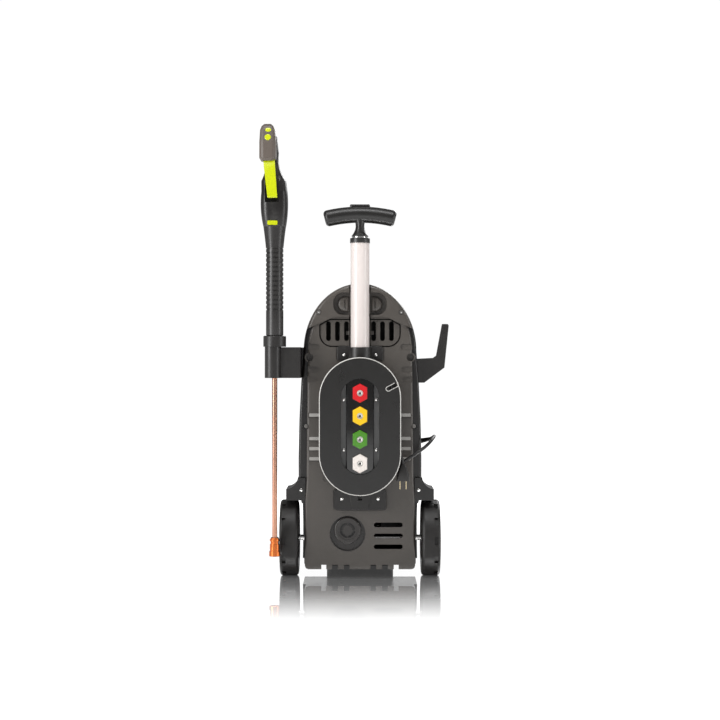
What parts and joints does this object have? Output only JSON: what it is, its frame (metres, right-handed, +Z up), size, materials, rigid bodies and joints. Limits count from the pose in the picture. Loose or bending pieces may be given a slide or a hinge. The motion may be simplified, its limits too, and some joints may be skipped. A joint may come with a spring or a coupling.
{
  "type": "pressure washer",
  "caption": "Upright electric pressure washer with telescopic handle, oval cord winder, on-board spray nozzles, side hook, holstered spray lance and two wheels.",
  "frame": {"origin": "centre of the flat underside of the front foot, on the floor and on the machine's centre plane", "axes": "+Z up, -Y towards the rear side that carries the winder and the handle, +X to the right as seen from behind"},
  "size_m": [0.402, 0.379, 0.9626],
  "materials": {
    "panel_plastic": "satin grey moulded plastic with a fine grain",
    "shell_plastic": "near-black moulded plastic",
    "plate_plastic": "black satin plastic",
    "gloss_black": "glossy black plastic",
    "rail_grey": "grey plastic",
    "bracket_black": "black nylon",
    "tube_white": "off-white painted tube",
    "inner_steel": "bright tube",
    "grip_black": "black soft-touch plastic",
    "button_black": "polished black plastic",
    "gun_black": "black glass-filled nylon",
    "cover_brown": "warm grey soft plastic",
    "accent_yellow": "acid yellow-green plastic",
    "lance_steel": "brushed steel tube",
    "tip_copper": "copper-coloured plated fitting",
    "valve_brass": "machined brass",
    "core_steel": "turned steel",
    "screw_steel": "dark zinc-plated steel",
    "axle_steel": "bright steel bar",
    "nozzle_red": "red moulded plastic",
    "nozzle_yellow": "yellow moulded plastic",
    "nozzle_green": "green moulded plastic",
    "nozzle_white": "white moulded plastic",
    "cord_rubber": "black cord jacket",
    "plug_rubber": "black moulded plug",
    "blade_brass": "plated blades",
    "tyre_rubber": "black tyre",
    "wheel_plastic": "black wheel plastic",
    "foot_rubber": "black rubber",
    "motor_metal": "painted motor can",
    "rotor_steel": "laminated steel",
    "pump_aluminium": "cast aluminium",
    "inlet_plastic": "dark plastic"
  },
  "bodies": {
    "root": {"axle": "axle_steel", "base_frame": "bracket_black", "cord_gland": "plug_rubber", "cord_lead": "cord_rubber", "cord_tail": "cord_rubber", "cord_winding": "cord_rubber", "front_foot": "foot_rubber", "front_panel": "panel_plastic", "front_shell": "shell_plastic", "handle_collar": "bracket_black", "handle_guide": "shell_plastic", "inlet_socket": "inlet_plastic", "lance_holder": "bracket_black", "lower_bracket": "bracket_black", "motor_housing": "motor_metal", "nozzle_tray": "gloss_black", "outlet_fitting": "valve_brass", "plug_blades": "blade_brass", "plug_body": "plug_rubber", "pump_head": "pump_aluminium", "rear_cover": "panel_plastic", "screws": "screw_steel", "side_hook": "bracket_black", "suction_pipe": "inlet_plastic", "top_cap": "panel_plastic", "vent_grille": "panel_plastic", "well_rails": "rail_grey", "winder_hub": "plate_plastic", "winder_plate": "plate_plastic"},
    "wheel_left": {"tyre_left": "tyre_rubber", "wheel_hub_left": "wheel_plastic"},
    "wheel_right": {"tyre_right": "tyre_rubber", "wheel_hub_right": "wheel_plastic"},
    "handle_outer": {"outer_tube": "tube_white", "tube_ring": "grip_black"},
    "handle_inner": {"inner_tube": "inner_steel", "grip_body": "grip_black"},
    "handle_button": {"release_button": "button_black"},
    "spray_gun": {"gun_shell_left": "gun_black", "gun_shell_right": "gun_black", "gun_valve": "valve_brass", "grip_cover": "cover_brown", "lance_collar": "gun_black", "lance_sleeve": "gun_black", "lance_tube": "lance_steel", "coupler_body": "tip_copper"},
    "gun_trigger": {"trigger": "accent_yellow"},
    "gun_lock": {"lock_tab": "accent_yellow"},
    "tip_collar": {"coupler_collar": "tip_copper"},
    "inlet_ring": {"inlet_collar": "inlet_plastic"},
    "knob": {"power_knob": "accent_yellow"},
    "motor_rotor": {"rotor": "rotor_steel"},
    "nozzle_red": {"nozzle_guard_red": "nozzle_red", "nozzle_core_red": "core_steel"},
    "nozzle_yellow": {"nozzle_guard_yellow": "nozzle_yellow", "nozzle_core_yellow": "core_steel"},
    "nozzle_green": {"nozzle_guard_green": "nozzle_green", "nozzle_core_green": "core_steel"},
    "nozzle_white": {"nozzle_guard_white": "nozzle_white", "nozzle_core_white": "core_steel"}
  },
  "joints": [
    {"name": "wheel_left_spin", "type": "hinge", "parent": "root", "child": "wheel_left", "pos_m": [-0.152, -0.185, 0.082], "axis": [1, 0, 0], "continuous": true},
    {"name": "wheel_right_spin", "type": "hinge", "parent": "root", "child": "wheel_right", "pos_m": [0.152, -0.185, 0.082], "axis": [1, 0, 0], "continuous": true},
    {"name": "handle_outer_slide", "type": "slide", "parent": "root", "child": "handle_outer", "axis": [0, 0, 1], "range_m": [-0.125, 0]},
    {"name": "handle_inner_slide", "type": "slide", "parent": "handle_outer", "child": "handle_inner", "axis": [0, 0, 1], "range_m": [0, 0.064]},
    {"name": "button_press", "type": "slide", "parent": "handle_inner", "child": "handle_button", "axis": [0, 0, -1], "range_m": [0, 0.003], "stiffness_N_per_m": 400, "springref_m": -0.001},
    {"name": "gun_lift", "type": "slide", "parent": "root", "child": "spray_gun", "axis": [0, 0, 1], "range_m": [0, 0.47]},
    {"name": "trigger_pull", "type": "hinge", "parent": "spray_gun", "child": "gun_trigger", "pos_m": [-0.193, -0.296, 0.893], "axis": [1, 0, 0], "range_deg": [0, 12], "stiffness_Nm_per_rad": 0.8, "springref_deg": -5.73},
    {"name": "lock_push", "type": "slide", "parent": "spray_gun", "child": "gun_lock", "axis": [0, 1, 0], "range_m": [0, 0.002], "stiffness_N_per_m": 300, "springref_m": -0.001},
    {"name": "collar_lift", "type": "slide", "parent": "spray_gun", "child": "tip_collar", "axis": [0, 0, 1], "range_m": [0, 0.005], "stiffness_N_per_m": 500, "springref_m": -0.001},
    {"name": "inlet_ring_turn", "type": "hinge", "parent": "root", "child": "inlet_ring", "pos_m": [-0.0265, -0.245, 0.1035], "axis": [0, -1, 0], "continuous": true},
    {"name": "knob_turn", "type": "hinge", "parent": "root", "child": "knob", "pos_m": [0, 0.04, 0.43], "axis": [0, 1, 0], "range_deg": [0, 90]},
    {"name": "rotor_spin", "type": "hinge", "parent": "root", "child": "motor_rotor", "pos_m": [0, -0.11, 0.3], "axis": [0, 0, 1], "continuous": true},
    {"name": "nozzle_red_pull", "type": "slide", "parent": "root", "child": "nozzle_red", "axis": [0, -1, 0], "range_m": [0, 0.045]},
    {"name": "nozzle_yellow_pull", "type": "slide", "parent": "root", "child": "nozzle_yellow", "axis": [0, -1, 0], "range_m": [0, 0.045]},
    {"name": "nozzle_green_pull", "type": "slide", "parent": "root", "child": "nozzle_green", "axis": [0, -1, 0], "range_m": [0, 0.045]},
    {"name": "nozzle_white_pull", "type": "slide", "parent": "root", "child": "nozzle_white", "axis": [0, -1, 0], "range_m": [0, 0.045]}
  ]
}
